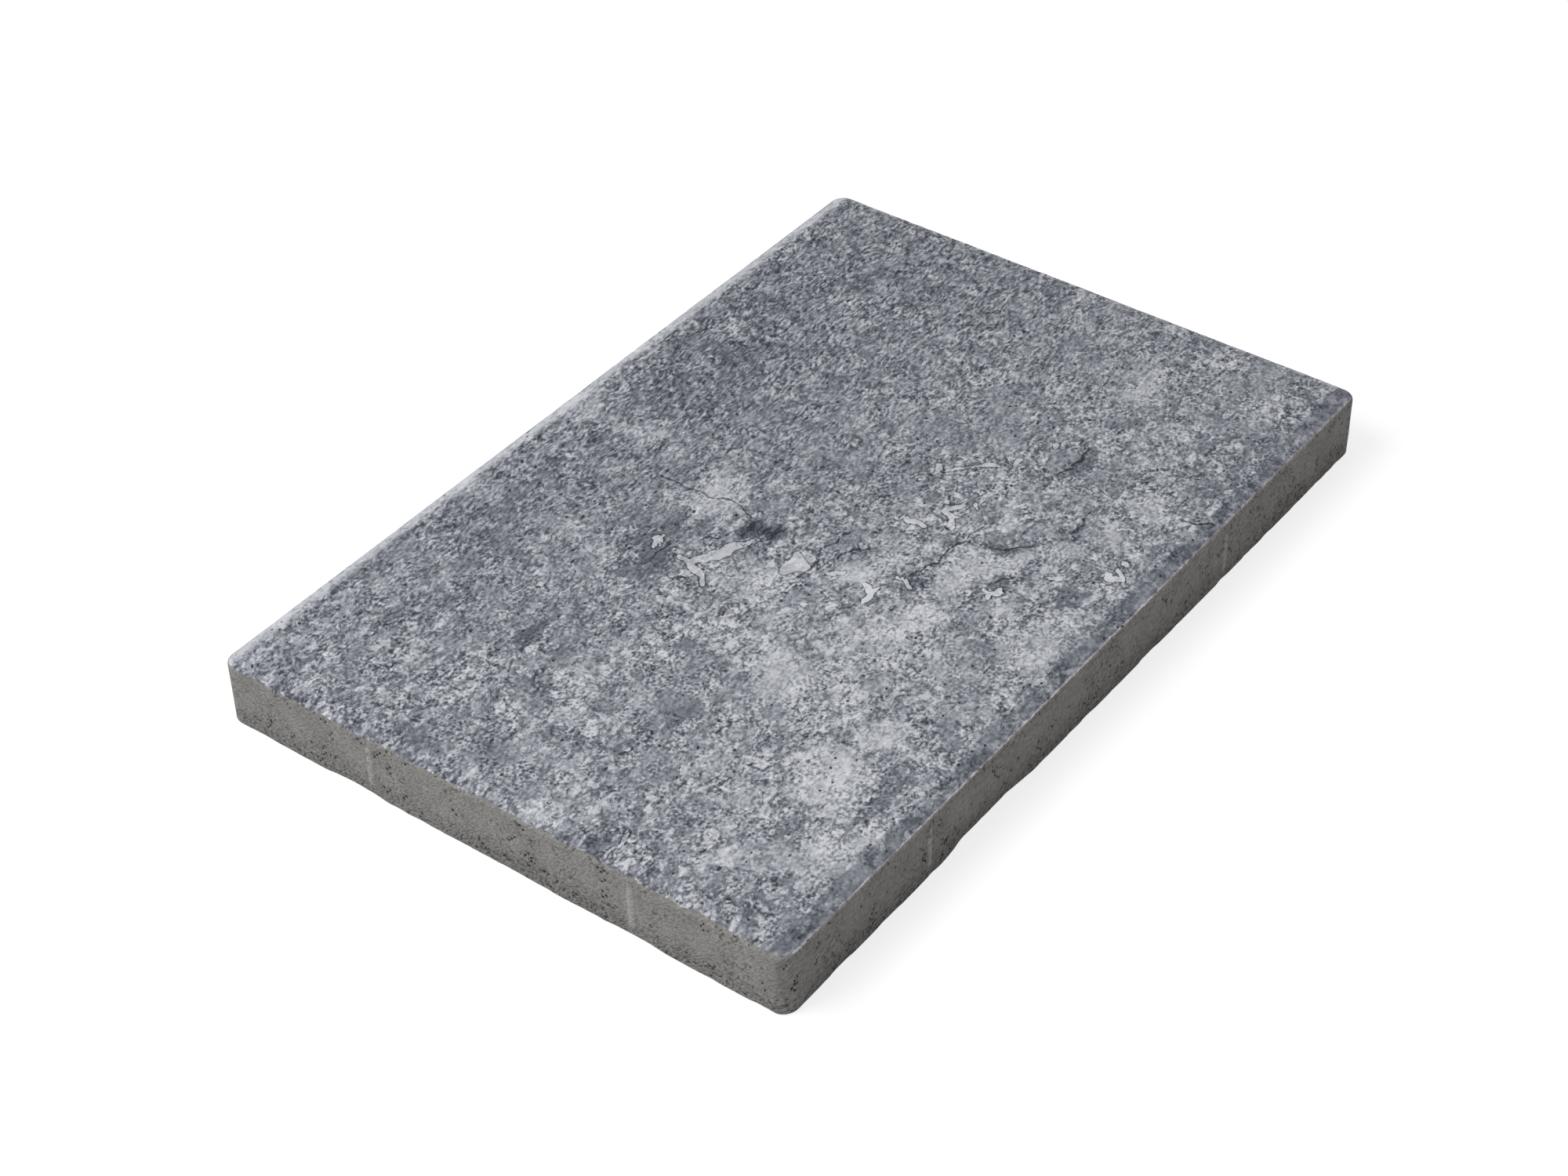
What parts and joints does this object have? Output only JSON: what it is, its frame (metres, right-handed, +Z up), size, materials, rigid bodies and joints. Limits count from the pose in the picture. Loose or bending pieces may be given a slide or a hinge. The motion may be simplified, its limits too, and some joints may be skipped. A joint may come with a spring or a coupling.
{
  "type": "paving slab",
  "caption": "Rectangular cast concrete paving slab with a quartzite-look walking face, softly rolled arrises and low spacer nibs on its sides.",
  "frame": {"origin": "middle of the flat underside that lies on the ground", "axes": "+X along the slab's length, +Y across its width, +Z up to the walking face"},
  "size_m": [0.602, 0.402, 0.045],
  "materials": {
    "cast_stone": "matt mottled blue-grey stone-look face over plain warm grey cast concrete"
  },
  "bodies": {
    "root": {"slab": "cast_stone"}
  },
  "joints": []
}
